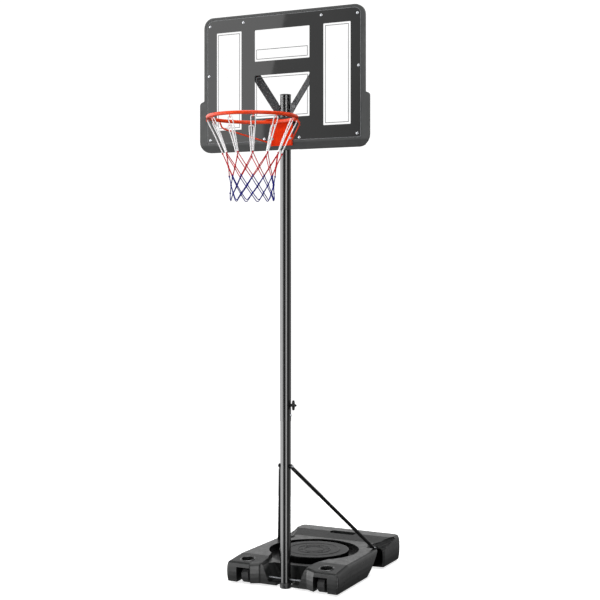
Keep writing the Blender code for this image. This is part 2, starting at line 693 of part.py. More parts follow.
def build_rim(orange, zinc, lift):
    centre = Vector((0, RIM_Y, RIM_Z))
    profile = []
    for index in range(10):
        angle = 2 * math.pi * index / 10
        profile.append((RIM_R + RIM_TUBE_R * math.cos(angle), RIM_TUBE_R * math.sin(angle)))
    make_object("rim_ring", turned(profile, 48, "Z", centre), orange, centre, lift)

    section = [(PLATE_BACK_Y, PLATE_BOTTOM_Z), (PLATE_BACK_Y, FLANGE_Z + 0.003),
               (-0.168, FLANGE_Z + 0.003), (-0.168, FLANGE_Z), (PLATE_FRONT_Y - 0.004, FLANGE_Z),
               (PLATE_FRONT_Y, FLANGE_Z - 0.004), (PLATE_FRONT_Y, PLATE_BOTTOM_Z)]
    bracket = make_object("rim_bracket", prism(section, -PLATE_HALF_WIDTH, PLATE_HALF_WIDTH, "X"), orange,
                          parent=lift)
    for x, z in both_sides(RIM_BOLTS):
        cut(bracket, rod(0.0043, -0.06, -0.04, SMALL, "Y", (x, 0, z)))
    for side in (1, -1):
        corner = [(side * 0.040, -0.20), (side * 0.040, -0.168), (side * 0.075, -0.075), (side * 0.10, -0.20)]
        cut(bracket, prism(corner, FLANGE_Z - 0.001, FLANGE_Z + 0.01, "Z"))
    for number, (x, z) in enumerate(both_sides(RIM_BOLTS), start=1):
        front = (x, PLATE_FRONT_Y - GAP, z)
        make_object(f"rim_bolt_{number}", bolt(0.0075, 0.0045, 0.004, 0.031, "-Y", front), zinc, front, lift)
        back = (x, BRACKET_WEB_BACK_Y + GAP, z)
        make_object(f"rim_nut_{number}", nut(0.0075, 0.004 + GAP, 0.006, "Y", back), zinc, back, lift)
    for name, side in (("left", -1), ("right", 1)):
        build_brace(name, side, orange, lift)


def build_brace(name, side, orange, lift):
    """Bent round bar from under the ring's side to the foot of the plate."""
    radius = 0.0045
    under = RIM_Z - RIM_TUBE_R - radius - GAP
    route = [Vector((0.226, -0.345, under)), Vector((0.2365, -0.320, under - 0.005)),
             Vector((0.2400, -0.304, under - 0.017)), Vector((0.2330, -0.290, under - 0.027)),
             Vector((0.070, -0.066, 2.498)), Vector((0.062, PLATE_FRONT_Y - radius - 0.0035, 2.491)),
             Vector((0.058, PLATE_FRONT_Y - radius - GAP, 2.4865))]
    sections = []
    for index, point in enumerate(route):
        before = route[max(index - 1, 0)]
        after = route[min(index + 1, len(route) - 1)]
        ahead = (after - before).normalized()
        beside = ahead.cross(Vector((0, 0, 1))).normalized()
        above = beside.cross(ahead)
        sections.append(oval(point, beside * radius, above * radius, 8))
    bar = loft(sections)
    if side < 0:
        bar = mirror_x(bar)
    make_object("rim_brace_" + name, bar, orange, parent=lift)


def build_net(cord, lift):
    """The net's envelope: a thin open sleeve that narrows to a waist."""
    heights = [(0.226, 2.590), (0.164, 2.407), (0.137, 2.337), (0.128, 2.287), (0.123, 2.239),
               (0.122, 2.195), (0.124, 2.150)]
    profile = heights + [(radius - 0.004, height) for radius, height in reversed(heights)]
    centre = Vector((0, RIM_Y, 0))
    make_object("net", turned(profile, 24, "Z", centre), cord, centre, lift)


# ---------------------------------------------------------------- brackets

def build_bracket(paint, zinc, lift):
    """Channel between board and pole: a web against the frame and two cheeks beside the pole."""
    web = box((-BRACKET_HALF_WIDTH, BRACKET_FRONT_Y, BRACKET_BOTTOM_Z),
              (BRACKET_HALF_WIDTH, BRACKET_WEB_BACK_Y, BRACKET_TOP_Z))
    bracket = make_object("pole_bracket", web, paint, parent=lift)
    for side in (1, -1):
        low, high = sorted((side * CHEEK_IN_X, side * CHEEK_OUT_X))
        cheek = box((low, BRACKET_FRONT_Y + 0.001, BRACKET_BOTTOM_Z + 0.001),
                    (high, 0.024, BRACKET_TOP_Z - 0.001))
        join(bracket, cheek)
    cut(bracket, rod(0.0043, -0.06, 0.06, SMALL, "X", (0, 0, BRACKET_BOLT_Z)))
    for x, z in both_sides(RIM_BOLTS):
        cut(bracket, rod(0.0043, -0.05, -0.02, SMALL, "Y", (x, 0, z)))
    outside = CHEEK_OUT_X + GAP
    make_object("bracket_bolt", bolt(0.0075, 0.005, 0.004, 2 * outside + 0.009, "-X",
                                     (-outside, 0, BRACKET_BOLT_Z)), zinc, (0, 0, BRACKET_BOLT_Z), lift)
    make_object("bracket_nut", nut(0.0075, 0.004 + GAP, 0.006, "X", (outside, 0, BRACKET_BOLT_Z)), zinc,
                (0, 0, BRACKET_BOLT_Z), lift)


def build_arm(name, side, paint, zinc, lift):
    """Channel-section arm: upright beside the pole, then out and up to the board's stile."""
    thick = 0.003
    lip = 0.006
    inner = SLEEVE_R + GAP
    end_y = FRAME_BACK_Y + GAP
    slope = Vector((ARM_END_X - ARM_LOW_X, 0, ARM_END_Z - ARM_LOW_Z)).normalized()
    span_y = end_y + 0.024 * math.sin(math.radians(ARM_LEAN)) + 0.001

    def channel(centre, width_axis, depth_axis, half):
        """U section: a web as wide as two halves, with a small lip at each edge."""
        web = width_axis * half
        inside = width_axis * (half - thick)
        return [centre - web, centre + web, centre + web + depth_axis * lip,
                centre + inside + depth_axis * lip, centre + inside + depth_axis * thick,
                centre - inside + depth_axis * thick, centre - inside + depth_axis * lip,
                centre - web + depth_axis * lip]

    downward = Vector((0, 0, -1))
    outward = Vector((1, 0, 0))
    backward = Vector((0, 1, 0))
    across = Vector((slope.z, 0, -slope.x))
    lean = math.radians(ARM_LEAN)
    leaning = across * math.cos(lean) - backward * math.sin(lean)
    behind = slope.cross(leaning)
    low = Vector((ARM_LOW_X, span_y, ARM_LOW_Z))
    end = Vector((ARM_END_X, end_y, ARM_END_Z))
    upper = Vector((ARM_END_X, span_y, ARM_END_Z)) - slope * 0.064
    sections = [
        channel(Vector((inner, 0.022, ARM_BOLT_Z)), downward, outward, 0.028),
        channel(Vector((inner, -0.009, ARM_BOLT_Z)), downward, outward, 0.036),
        channel(Vector((inner + 0.004, -0.0135, ARM_BOLT_Z + 0.005)), downward,
                (outward + backward).normalized(), 0.036),
        channel(low + slope * 0.012, leaning, behind, 0.024),
        channel(upper, leaning, behind, 0.024),
        channel(end - slope * 0.026, across, backward, 0.024),
        channel(end + slope * 0.014, across, backward, 0.024),
    ]
    arm = loft(sections)
    bmesh.ops.triangulate(arm, faces=arm.faces[:])
    hole = rod(0.0043, -0.06, 0.06, SMALL, "X", (0, 0, ARM_BOLT_Z))
    end_hole = rod(0.0043, -0.05, 0.02, SMALL, "Y", (ARM_END_X, 0, ARM_END_Z))
    seat = (ARM_END_X, end_y + thick + GAP, ARM_END_Z)
    screw = bolt(0.0065, 0.004, 0.003, 0.014, "Y", seat)
    shapes = [arm, hole, end_hole, screw]
    if side < 0:
        shapes = [mirror_x(shape) for shape in shapes]
    arm, hole, end_hole, screw = shapes
    item = make_object("arm_" + name, arm, paint, parent=lift)
    cut(item, hole)
    cut(item, end_hole)
    make_object("arm_screw_" + name, screw, zinc, parent=lift)


def build_arm_bolt(zinc, lift):
    outside = SLEEVE_R + GAP + 0.003 + GAP
    make_object("arm_bolt", bolt(0.0075, 0.005, 0.004, 2 * outside + 0.009, "-X", (-outside, 0, ARM_BOLT_Z)),
                zinc, (0, 0, ARM_BOLT_Z), lift)
    make_object("arm_nut", nut(0.0075, 0.004 + GAP, 0.006, "X", (outside, 0, ARM_BOLT_Z)), zinc,
                (0, 0, ARM_BOLT_Z), lift)


def build_hoop():
    clear_scene()
    base_plastic = make_material("base_plastic", srgb(52, 54, 53), 0.50)
    frame_plastic = make_material("frame_plastic", srgb(66, 66, 67), 0.45)
    clear_sheet = make_material("clear_sheet", srgb(235, 238, 240), 0.08, 0.0, 0.25)
    black_paint = make_material("black_paint", srgb(28, 28, 29), 0.25, 0.2)
    orange_paint = make_material("orange_paint", srgb(226, 66, 22), 0.35, 0.1)
    zinc = make_material("zinc", srgb(205, 207, 210), 0.30, 0.9)
    cap_plastic = make_material("cap_plastic", srgb(20, 20, 21), 0.50)
    wheel_plastic = make_material("wheel_plastic", srgb(24, 24, 25), 0.55)
    net_cord = make_material("net_cord", srgb(235, 235, 238), 0.80)

    root = make_empty("hoop")
    root.location = (0, POLE_Y, PLINTH)
    lift = make_empty("height_slide", root)
    build_base(base_plastic, cap_plastic, root)
    build_axle(zinc, wheel_plastic, cap_plastic, root)
    build_lower_pole(black_paint, zinc, cap_plastic, root)
    build_upper_pole(black_paint, zinc, cap_plastic, lift)
    build_height_lock(zinc, cap_plastic, lift)
    build_frame(frame_plastic, lift)
    build_panel(clear_sheet, lift)
    build_panel_bolts(zinc, lift)
    build_rim(orange_paint, zinc, lift)
    build_net(net_cord, lift)
    build_bracket(black_paint, zinc, lift)
    build_arm_bolt(zinc, lift)
    for name, side in (("left", -1), ("right", 1)):
        build_strut(name, side, black_paint, zinc, root)
        build_arm(name, side, black_paint, zinc, lift)


build_hoop()
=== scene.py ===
"""Portable basketball hoop: materials, board print, net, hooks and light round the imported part."""
import math
import random

import bmesh
import bpy
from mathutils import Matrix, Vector
from mathutils.geometry import tessellate_polygon


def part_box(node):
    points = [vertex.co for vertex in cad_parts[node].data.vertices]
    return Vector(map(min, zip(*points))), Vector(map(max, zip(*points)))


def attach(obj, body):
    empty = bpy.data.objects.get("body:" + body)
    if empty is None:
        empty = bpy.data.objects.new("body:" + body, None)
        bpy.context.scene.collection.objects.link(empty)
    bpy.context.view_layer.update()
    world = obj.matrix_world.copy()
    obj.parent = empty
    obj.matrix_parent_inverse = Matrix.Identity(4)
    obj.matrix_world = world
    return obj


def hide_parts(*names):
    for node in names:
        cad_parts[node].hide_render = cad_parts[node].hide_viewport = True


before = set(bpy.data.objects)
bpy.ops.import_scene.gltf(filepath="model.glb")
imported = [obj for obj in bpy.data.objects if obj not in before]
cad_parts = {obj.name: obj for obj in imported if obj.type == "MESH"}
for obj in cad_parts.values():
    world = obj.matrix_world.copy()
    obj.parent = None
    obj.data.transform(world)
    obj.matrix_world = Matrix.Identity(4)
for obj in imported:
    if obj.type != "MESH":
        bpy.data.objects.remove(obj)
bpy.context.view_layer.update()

random.seed(7)

# ---------------------------------------------------------------- places, in metres

SHEET_LOW, SHEET_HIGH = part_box("board_panel")
RING_LOW, RING_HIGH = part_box("rim_ring")
POLE_LOW, POLE_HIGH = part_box("lower_pole")
POLE = (POLE_LOW + POLE_HIGH) / 2
# middle of the disc's top, the groove round it, and the notch before the wing, seen from the disc; the groove
# and the notch get painted shade in the tank's plastic
DISC_CENTRE = Vector((POLE.x, POLE.y + 0.367, 0.1425))
DISC_R = 0.205
GROOVE_R = 0.266
NOTCH_X = 0.262
NOTCH_Y = 0.223
CUP_X = 0.250
CUP_Y = POLE.y + 0.014
CUP_LIP_Z = 0.1339
CUP_LIP_SLOPE = 0.10
# the wing's sloping corners, at their front and growing along their length: inner edge and lower edge
FLANK_Y, FLANK_LENGTH = POLE.y + 0.572, 0.233
FLANK_INNER_X, FLANK_INNER_GROWTH = 0.236, 0.086
FLANK_LOW_Z, FLANK_LOW_GROWTH = 0.0865, 0.048
FLANK_OUTER_X = 0.372
FLANK_TOP_Z = 0.1495
WING_SIDE_X = 0.337
RAIL_SHARES = (0.10, 0.28, 0.46, 0.64)
RAIL_R = 0.0030

RING_CENTRE = (RING_LOW + RING_HIGH) / 2
RING_TUBE_R = (RING_HIGH.z - RING_LOW.z) / 2
RING_R = (RING_HIGH.x - RING_LOW.x) / 2 - RING_TUBE_R

# left, right, bottom and top of the frame's four windows
SIDE_WINDOW = (0.259, 0.4235, 2.5955, 3.1565)
OTHER_SIDE_WINDOW = (-0.4235, -0.259, 2.5955, 3.1565)
TOP_WINDOW = (-0.173, 0.173, 2.9765, 3.1545)
LOW_WINDOW = (-0.173, 0.173, 2.6525, 2.8965)
BORDER = 0.0105
LINE = 0.0036
STRIP = 0.0028
PRINT_GAP = 0.00005
PRINT_THICK = 0.00015
BOLT_HOLE_R = 0.0034
PANEL_BOLTS = [f"panel_bolt_{number:02d}" for number in range(1, 11)]
RIM_BOLTS = [f"rim_bolt_{number}" for number in range(1, 5)]

LOOPS = 12
STEP = 2 * math.pi / LOOPS
# radius and height of each row of knots, from the top; every other row is half a step round
KNOT_ROWS = [(0.1590, 2.4195), (0.1316, 2.3495), (0.1230, 2.2995), (0.1180, 2.2515), (0.1175, 2.2075)]
NET_FOOT_R = 0.1190
NET_FOOT_Z = 2.1700
NET_FOOT_HALF = 0.0125
# the white loops between hooks and knots: half their width at the hook, and their middle
LOOP_HALF = 0.0125
LOOP_MIDDLE_R = 0.197
LOOP_MIDDLE_Z = 2.5095
LOOP_MIDDLE_HALF = 0.0078
KNOT_HALF = 0.0032
HOOK_Z = RING_CENTRE.z - RING_TUBE_R - 0.0090
CORD_R = 0.0025
TOP_CORD_R = 0.0027
CORD_STEP = 0.004


# ---------------------------------------------------------------- camera, light and floor

def make_camera():
    """Camera at the photograph's viewing angle, level, with its view shifted down."""
    data = bpy.data.cameras.new("camera")
    data.lens = 74.04
    data.sensor_width = 36
    data.shift_y = -0.0665
    data.clip_end = 100
    camera = bpy.data.objects.new("camera", data)
    camera.location = (3.19588, -6.33346, 1.85042)
    camera.rotation_euler = (math.pi / 2, 0, math.radians(26.6208))
    bpy.context.scene.collection.objects.link(camera)
    bpy.context.scene.camera = camera


class Nodes:
    """Short way to add and link nodes in one tree."""

    def __init__(self, tree):
        self.tree = tree
        tree.nodes.clear()

    def add(self, kind, inputs=None, **settings):
        node = self.tree.nodes.new(kind)
        for key, value in settings.items():
            setattr(node, key, value)
        for key, value in (inputs or {}).items():
            self.put(node, key, value)
        return node

    def put(self, node, key, value):
        if isinstance(value, bpy.types.NodeSocket):
            self.tree.links.new(value, node.inputs[key])
        else:
            node.inputs[key].default_value = value

    def math(self, operation, first, second=0.0):
        return self.add("ShaderNodeMath", {0: first, 1: second}, operation=operation).outputs[0]

    def dot(self, first, second):
        node = self.add("ShaderNodeVectorMath", {0: first, 1: second}, operation="DOT_PRODUCT")
        return node.outputs["Value"]

    def ease(self, value, start, end, low=0.0, high=1.0):
        node = self.add("ShaderNodeMapRange", {"Value": value, "From Min": start, "From Max": end,
                                               "To Min": low, "To Max": high},
                        interpolation_type="SMOOTHSTEP")
        return node.outputs["Result"]

    def ramp(self, value, stops):
        node = self.add("ShaderNodeValToRGB", {"Fac": value})
        band = node.color_ramp
        while len(band.elements) < len(stops):
            band.elements.new(0.5)
        for element, (place, shade) in zip(band.elements, stops):
            element.position = place
            element.color = (shade, shade, shade, 1) if isinstance(shade, float) else shade
        return node.outputs["Color"]


# Light round the room: (degrees round from the camera's side of the object, brightness)
ROOM = [(-180, 0.10), (-150, 0.9), (-119, 2.6), (-100, 4.0), (-76, 4.8), (-66, 3.3), (-61, 1.9),
        (-58.4, 1.25), (-54.6, 1.10), (-51.5, 1.0), (-46, 0.35), (-41, 0.02), (-9, 0.02), (-4, 2.0),
        (1, 4.5), (22, 4.4), (29, 1.7), (38, 0.20), (48, 0.03), (66, 0.05), (76, 0.45), (110, 0.50),
        (150, 0.20), (179, 0.10)]
ROOM_SCALE = 5.0
# A height is the sine of the angle above the horizon. A pair is where a change starts and ends.
LIGHT_LEAN = 0.234
LEAN_FROM = 0.12
LEAN_UPRIGHT = 0.192
PANEL_LEVEL = 1.5
PANEL_START = (math.radians(-76), math.radians(-66))
PANEL_END = (math.radians(-54.70), math.radians(-54.60))
NEAR_FLOOR, NEAR_FLOOR_LEVEL = (-0.235, -0.215), 0.60
LOW_FLOOR, LOW_LEVEL = (-0.275, -0.25), 0.32
LIGHT_TOPS = (0.34, 0.55)
CEILING, CEILING_LEVEL = (0.82, 0.95), 4.4
BEHIND_WAY = (-0.35, -0.75)
BEHIND_FOOT = (-0.02, 0.08)
BEHIND_TOP, BEHIND_LEVEL, BEHIND_HIGH_LEVEL = (0.20, 0.60), 0.84, 0.05
ROOM_DARK = 0.04
ROOM_FRONT = Vector((0.4585, -0.8887, 0.0))
ROOM_SIDE = Vector((0.8887, 0.4585, 0.0))


def make_room():
    """White to look at; a studio of soft lights and dark gaps for everything that shines."""
    world = bpy.data.worlds.new("room")
    world.use_nodes = True
    bpy.context.scene.world = world
    nodes = Nodes(world.node_tree)
    way = nodes.add("ShaderNodeTexCoord").outputs["Generated"]
    ahead = nodes.dot(way, ROOM_FRONT)
    aside = nodes.dot(way, ROOM_SIDE)
    height = nodes.dot(way, Vector((0, 0, 1)))
    raised = nodes.math("SUBTRACT", nodes.math("MAXIMUM", height, LEAN_FROM), LEAN_UPRIGHT)
    lean = nodes.math("MULTIPLY", raised, LIGHT_LEAN)
    turn = nodes.math("SUBTRACT", nodes.math("ARCTAN2", aside, ahead), lean)
    place = nodes.math("MULTIPLY_ADD", turn, 1 / (2 * math.pi))
    place.node.inputs[2].default_value = 0.5
    stops = [((angle + 180) / 360, level / ROOM_SCALE) for angle, level in ROOM]
    band = nodes.ramp(place, stops)
    low = nodes.math("MULTIPLY", nodes.ease(height, *NEAR_FLOOR, NEAR_FLOOR_LEVEL, 1.0),
                     nodes.ease(height, *LOW_FLOOR, LOW_LEVEL, 1.0))
    high = nodes.ease(height, *LIGHT_TOPS, 1.0, 0.0)
    crisp = nodes.ease(turn, *PANEL_END, PANEL_LEVEL, 0.0)
    panel = nodes.math("MULTIPLY", crisp, nodes.ease(turn, *PANEL_START))
    round_room = nodes.math("ADD", nodes.math("MULTIPLY", band, ROOM_SCALE), panel)
    level = nodes.math("MULTIPLY", round_room, nodes.math("MULTIPLY", low, high))
    top = nodes.ease(height, *CEILING, 0.0, CEILING_LEVEL)
    far = nodes.math("MULTIPLY", nodes.ease(ahead, *BEHIND_WAY), nodes.ease(height, *BEHIND_FOOT))
    behind = nodes.math("MULTIPLY", far, nodes.ease(height, *BEHIND_TOP, BEHIND_LEVEL, BEHIND_HIGH_LEVEL))
    lights = nodes.math("ADD", nodes.math("ADD", level, top), behind)
    total = nodes.math("ADD", lights, ROOM_DARK)
    inside = nodes.add("ShaderNodeBackground", {"Color": (1, 1, 1, 1), "Strength": total})
    seen = nodes.add("ShaderNodeBackground", {"Color": (1, 1, 1, 1), "Strength": 1.08})
    ray = nodes.add("ShaderNodeLightPath").outputs["Is Camera Ray"]
    both = nodes.add("ShaderNodeMixShader", {0: ray, 1: inside.outputs[0], 2: seen.outputs[0]})
    nodes.add("ShaderNodeOutputWorld", {"Surface": both.outputs[0]})


def floor_material():
    """White to look at, with the object's faint shadow; dim in what shines."""
    material = bpy.data.materials.new("floor")
    material.use_nodes = True
    nodes = Nodes(material.node_tree)
    ray = nodes.add("ShaderNodeLightPath").outputs["Is Camera Ray"]
    paper = nodes.add("ShaderNodeBsdfDiffuse", {"Color": (0.75, 0.75, 0.75, 1)})
    fill = nodes.add("ShaderNodeEmission", {"Color": (1, 1, 1, 1), "Strength": 0.72})
    lit = nodes.add("ShaderNodeAddShader", {0: paper.outputs[0], 1: fill.outputs[0]})
    dim = nodes.add("ShaderNodeBsdfDiffuse", {"Color": (0.16, 0.16, 0.16, 1)})
    both = nodes.add("ShaderNodeMixShader", {0: ray, 1: dim.outputs[0], 2: lit.outputs[0]})
    nodes.add("ShaderNodeOutputMaterial", {"Surface": both.outputs[0]})
    return material


def make_floor():
    """Pale round floor, which shiny parts don't mirror."""
    bm = bmesh.new()
    bmesh.ops.create_circle(bm, cap_ends=True, segments=64, radius=2.6)
    floor = new_object("floor", bm, smooth=False)
    floor.location.z = -0.0005
    floor.visible_glossy = False
    floor.data.materials.append(floor_material())


# ---------------------------------------------------------------- materials

def srgb(red, green, blue):
    """Display colour from 0 to 255, as the linear colour that shaders take."""
    def linear(value):
        value = value / 255
        return value / 12.92 if value <= 0.04045 else ((value + 0.055) / 1.055) ** 2.4
    return (linear(red), linear(green), linear(blue), 1)


def surface(name, dark, light, rough, bumps, metallic=0.0, tone_scale=9.0, specular=0.5, painted_shade_and_dull=None):
    """A node material: two tones in soft patches, uneven roughness, and layers of relief.

    bumps lists (scale, depth in metres, detail) from coarse to fine. The optional mask function, called
    with (nodes, place), gives two masks: where the surface lies outside the painted shade, and how dull
    it is. Inside the painted shade the colour and the specular tint are pushed to black.
    """
    material = bpy.data.materials.new(name)
    material.use_nodes = True
    nodes = Nodes(material.node_tree)
    place = nodes.add("ShaderNodeTexCoord").outputs["Object"]
    patches = nodes.add("ShaderNodeTexNoise", {"Vector": place, "Scale": tone_scale, "Detail": 4.0,
                                               "Roughness": 0.6}).outputs["Fac"]
    colour = nodes.ramp(patches, [(0.32, dark), (0.68, light)])
    smears = nodes.add("ShaderNodeTexNoise", {"Vector": place, "Scale": tone_scale * 3.7, "Detail": 5.0,
                                              "Roughness": 0.65}).outputs["Fac"]
    roughness = nodes.ease(smears, 0.30, 0.70, rough[0], rough[1])
    normal = None
    for scale, depth, detail in bumps:
        relief = nodes.add("ShaderNodeTexNoise", {"Vector": place, "Scale": scale, "Detail": detail,
                                                  "Roughness": 0.55}).outputs["Fac"]
        inputs = {"Height": relief, "Distance": depth, "Strength": 1.0}
        if normal is not None:
            inputs["Normal"] = normal
        normal = nodes.add("ShaderNodeBump", inputs).outputs["Normal"]
    shader = nodes.add("ShaderNodeBsdfPrincipled", {"Base Color": colour, "Roughness": roughness,
                                                    "Metallic": metallic, "Specular IOR Level": specular})
    if normal is not None:
        nodes.put(shader, "Normal", normal)
    # Painted shade: where the first mask falls to 0, the colour and the specular tint go to black; the second
    # mask only raises the roughness.
    if painted_shade_and_dull:
        outside_painted_shade, dull = painted_shade_and_dull(nodes, place)
        nodes.put(shader, "Roughness", nodes.math("MAXIMUM", roughness, dull))
        nodes.put(shader, "Specular Tint", nodes.ramp(outside_painted_shade, [(0.0, (0, 0, 0, 1)), (1.0, (1, 1, 1, 1))]))
        shaded = nodes.add("ShaderNodeMix", data_type="RGBA", blend_type="MIX")
        nodes.put(shaded, 0, outside_painted_shade)
        nodes.put(shaded, 6, (0.001, 0.001, 0.001, 1))
        nodes.put(shaded, 7, colour)
        nodes.put(shader, "Base Color", shaded.outputs[2])
    nodes.add("ShaderNodeOutputMaterial", {"Surface": shader.outputs[0]})
    return material


def tank_painted_shade(nodes, place):
    """Masks for the tank: painted shade in the groove and in the notch before the wing, and a duller disc."""
    parts = nodes.add("ShaderNodeSeparateXYZ", {"Vector": place}).outputs
    x = nodes.math("ABSOLUTE", parts["X"])
    y = nodes.math("SUBTRACT", parts["Y"], DISC_CENTRE.y)
    away = nodes.math("SQRT", nodes.math("ADD", nodes.math("MULTIPLY", x, x), nodes.math("MULTIPLY", y, y)))
    ring = nodes.math("MULTIPLY", nodes.ease(away, DISC_R - 0.003, DISC_R),
                      nodes.ease(away, GROOVE_R + 0.003, GROOVE_R))
    below = nodes.ease(parts["Z"], DISC_CENTRE.z - 0.001, DISC_CENTRE.z - 0.008)
    groove = nodes.math("MULTIPLY", ring, below)
    beside = nodes.ease(x, NOTCH_X, NOTCH_X + 0.008)
    before = nodes.math("MULTIPLY", nodes.ease(y, NOTCH_Y - 0.040, NOTCH_Y - 0.030),
                        nodes.ease(y, NOTCH_Y + 0.036, NOTCH_Y + 0.028))
    notch = nodes.math("MULTIPLY", nodes.math("MULTIPLY", beside, before),
                       nodes.ease(parts["Z"], DISC_CENTRE.z, DISC_CENTRE.z - 0.020))
    # 1 outside the painted shade, falling to 0 in the groove and the notch, where shade is painted in
    outside_painted_shade = nodes.math("SUBTRACT", 1.0, nodes.math("MAXIMUM", groove, notch))
    dull = nodes.ease(away, DISC_R, DISC_R - 0.004, 0.0, 0.52)
    return outside_painted_shade, dull


def clear_sheet():
    """Clear sheet: glossy, and clear but for a faint grey."""
    material = bpy.data.materials.new("clear_sheet")
    material.use_nodes = True
    nodes = Nodes(material.node_tree)
    place = nodes.add("ShaderNodeTexCoord").outputs["Object"]
    haze = nodes.add("ShaderNodeTexNoise", {"Vector": place, "Scale": 30.0, "Detail": 4.0}).outputs["Fac"]
    alpha = nodes.ease(haze, 0.2, 0.8, 0.015, 0.04)
    roughness = nodes.ease(haze, 0.3, 0.7, 0.03, 0.08)
    shader = nodes.add("ShaderNodeBsdfPrincipled", {"Base Color": srgb(20, 22, 23), "Alpha": alpha,
                                                    "Roughness": roughness})
    nodes.add("ShaderNodeOutputMaterial", {"Surface": shader.outputs[0]})
    return material


def cord_material(name, dark, light):
    """Twisted cord: fine fibres, darker between the strands."""
    return surface(name, dark, light, (0.65, 0.9), [(900.0, 0.0004, 3.0)], tone_scale=160.0, specular=0.25)


def make_materials():
    """Every finish, by the record's slot name or the piece's own."""
    finish = {}
    # The tank's plastic is darkened with painted shade in the groove and in the notch before the wing
    finish["base_plastic"] = surface("base_plastic", srgb(20, 21, 21), srgb(27, 28, 28), (0.27, 0.37),
                                     [(14.0, 0.0004, 2.0), (420.0, 0.00012, 3.0)], painted_shade_and_dull=tank_painted_shade)
    finish["lip_plastic"] = surface("lip_plastic", srgb(24, 25, 25), srgb(32, 33, 33), (0.12, 0.20),
                                    [(420.0, 0.00004, 3.0)], specular=1.0)
    finish["frame_plastic"] = surface("frame_plastic", srgb(38, 40, 40), srgb(46, 48, 48), (0.36, 0.48),
                                      [(520.0, 0.00010, 3.0)], specular=0.5)
    finish["print_black"] = surface("print_black", srgb(14, 15, 15), srgb(18, 19, 19), (0.012, 0.035),
                                    [(1.5, 0.0001, 0.0)], tone_scale=4.0, specular=0.5)
    finish["print_edge"] = surface("print_edge", srgb(96, 98, 100), srgb(110, 112, 114), (0.25, 0.35),
                                   [(300.0, 0.00002, 2.0)], tone_scale=20.0)
    finish["print_line"] = surface("print_line", srgb(44, 46, 48), srgb(60, 62, 64), (0.25, 0.35),
                                   [(300.0, 0.00002, 2.0)], tone_scale=20.0)
    finish["black_paint"] = surface("black_paint", srgb(8, 8, 9), srgb(12, 12, 13), (0.07, 0.11),
                                    [(30.0, 0.00001, 1.0)], tone_scale=25.0, specular=1.0)
    finish["knob_plastic"] = surface("knob_plastic", srgb(7, 7, 8), srgb(12, 12, 12), (0.42, 0.56),
                                     [(500.0, 0.00006, 3.0)], tone_scale=60.0, specular=0.3)
    finish["strut_paint"] = surface("strut_paint", srgb(9, 9, 10), srgb(14, 14, 15), (0.34, 0.46),
                                    [(200.0, 0.00004, 2.0)], tone_scale=25.0, specular=0.35)
    finish["arm_paint"] = surface("arm_paint", srgb(50, 51, 53), srgb(60, 61, 63), (0.40, 0.52),
                                  [(260.0, 0.0001, 3.0)], tone_scale=30.0)
    finish["orange_paint"] = surface("orange_paint", srgb(220, 56, 8), srgb(236, 68, 12), (0.30, 0.42),
                                     [(240.0, 0.00006, 3.0)], tone_scale=30.0, specular=0.5)
    finish["plate_paint"] = surface("plate_paint", srgb(222, 46, 0), srgb(232, 54, 2), (0.42, 0.52),
                                    [(240.0, 0.00006, 3.0)], tone_scale=30.0, specular=0.06)
    finish["zinc"] = surface("zinc", srgb(150, 152, 156), srgb(196, 198, 201), (0.22, 0.38),
                             [(700.0, 0.00005, 3.0)], metallic=0.9, tone_scale=220.0)
    finish["axle_zinc"] = surface("axle_zinc", srgb(104, 106, 109), srgb(140, 142, 145), (0.30, 0.45),
                                  [(700.0, 0.00005, 3.0)], metallic=0.9, tone_scale=220.0)
    finish["cap_plastic"] = surface("cap_plastic", srgb(18, 18, 19), srgb(28, 28, 29), (0.35, 0.5),
                                    [(500.0, 0.0001, 3.0)], tone_scale=60.0)
    finish["wheel_plastic"] = surface("wheel_plastic", srgb(18, 18, 19), srgb(27, 27, 28), (0.5, 0.65),
                                      [(400.0, 0.00015, 3.0)], tone_scale=50.0)
    finish["clear_sheet"] = clear_sheet()
    finish["cord_white"] = cord_material("cord_white", srgb(236, 237, 239), srgb(252, 252, 253))
    finish["cord_red"] = cord_material("cord_red", srgb(150, 8, 22), srgb(208, 20, 36))
    finish["cord_blue"] = cord_material("cord_blue", srgb(12, 10, 88), srgb(30, 26, 138))
    return finish


# ---------------------------------------------------------------- mesh helpers

def new_object(name, bm, smooth=True):
    """A scene object from a bmesh, with its faces turned outward."""
    mesh = bpy.data.meshes.new(name)
    bmesh.ops.recalc_face_normals(bm, faces=bm.faces)
    for face in bm.faces:
        face.smooth = smooth
    bm.to_mesh(mesh)
    bm.free()
    item = bpy.data.objects.new(name, mesh)
    bpy.context.scene.collection.objects.link(item)
    return item


def finish_piece(item, material, body):
    """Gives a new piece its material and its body."""
    item.data.materials.append(material)
    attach(item, body)
    return item


def rounded(corners, steps=6):
    """Corner points (x, z, radius) turned into an outline with round corners."""
    points = []
    count = len(corners)
    for index, (x, z, radius) in enumerate(corners):
        here = Vector((x, z))
        back = (Vector(corners[index - 1][:2]) - here).normalized()
        ahead = (Vector(corners[(index + 1) % count][:2]) - here).normalized()
        if radius <= 0:
            points.append(here)
            continue
        centre = here + (back + ahead) * radius
        for step in range(steps + 1):
            share = step / steps * math.pi / 2
            points.append(centre - ahead * radius * math.cos(share) - back * radius * math.sin(share))
    return points


def rectangle(window, inset=0.0, radius=0.004):
    """Outline of a window, drawn in by the inset, with round corners."""
    left, right, bottom, top = window
    radius = max(radius - inset * 0.2, 0.0015)
    return rounded([(left + inset, bottom + inset, radius), (right - inset, bottom + inset, radius),
                    (right - inset, top - inset, radius), (left + inset, top - inset, radius)], 3)


def circle(x, z, radius, sides=12):
    """Round outline in (x, z)."""
    return [Vector((x + radius * math.cos(2 * math.pi * k / sides),
                    z + radius * math.sin(2 * math.pi * k / sides))) for k in range(sides)]


